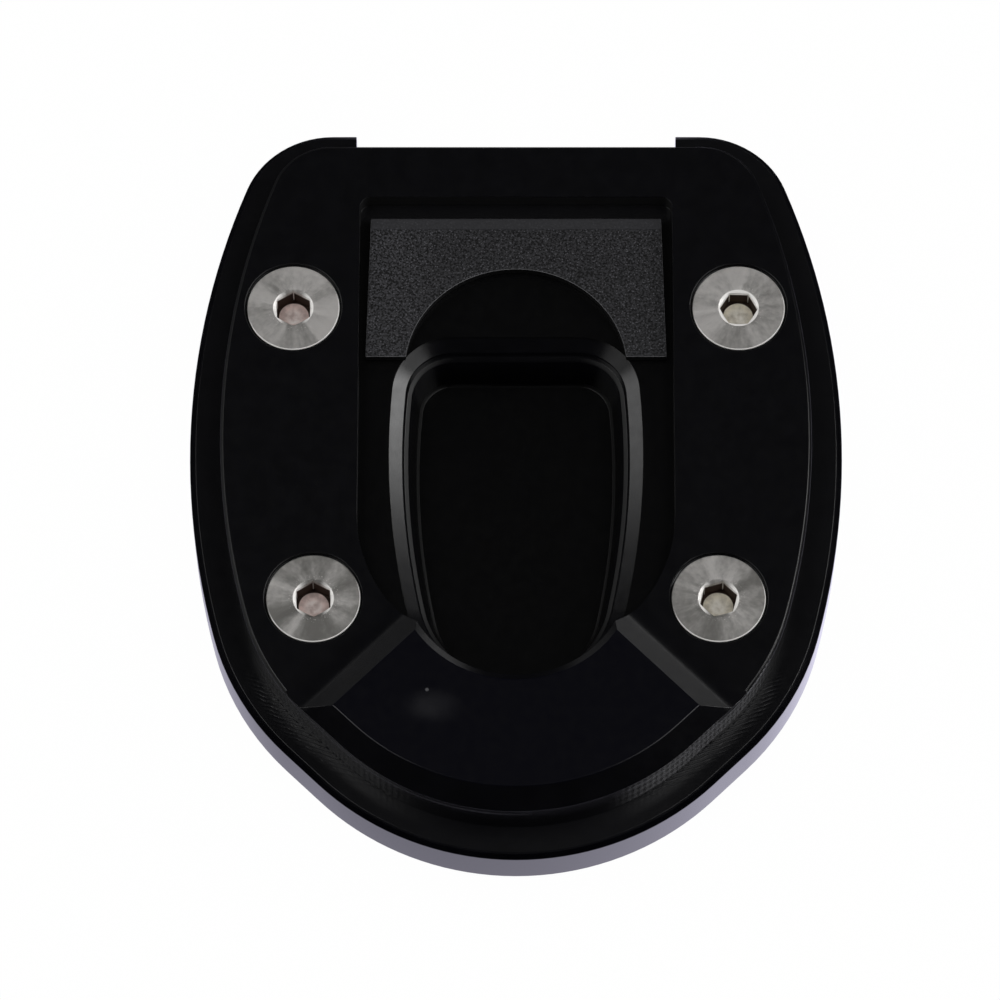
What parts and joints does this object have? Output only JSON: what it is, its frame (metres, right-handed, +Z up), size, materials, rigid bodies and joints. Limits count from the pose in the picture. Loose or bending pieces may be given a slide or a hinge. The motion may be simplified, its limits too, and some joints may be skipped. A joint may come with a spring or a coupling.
{
  "type": "kickstand foot enlarger",
  "caption": "Wide two-plate shoe that clamps round a motorcycle side stand's foot and spreads its load on soft ground, held by countersunk socket screws.",
  "frame": {"origin": "centre of the base plate's underside, on the ground", "axes": "+Z up, +Y towards the ears and the rear notch, -Y towards the raised front, +X to the right seen from the front"},
  "size_m": [0.0844, 0.1022, 0.015],
  "materials": {
    "base_plate": "black anodised, milled, satin",
    "top_plate": "black anodised, milled, satin",
    "foam_pad": "dark grey cellular rubber, fine sparkling grain",
    "screws": "bare stainless steel, turned"
  },
  "bodies": {
    "root": {"base_plate": "base_plate", "top_plate": "top_plate", "foam_pad": "foam_pad", "screw_rear_left": "screws", "screw_rear_right": "screws", "screw_front_left": "screws", "screw_front_right": "screws"}
  },
  "joints": []
}
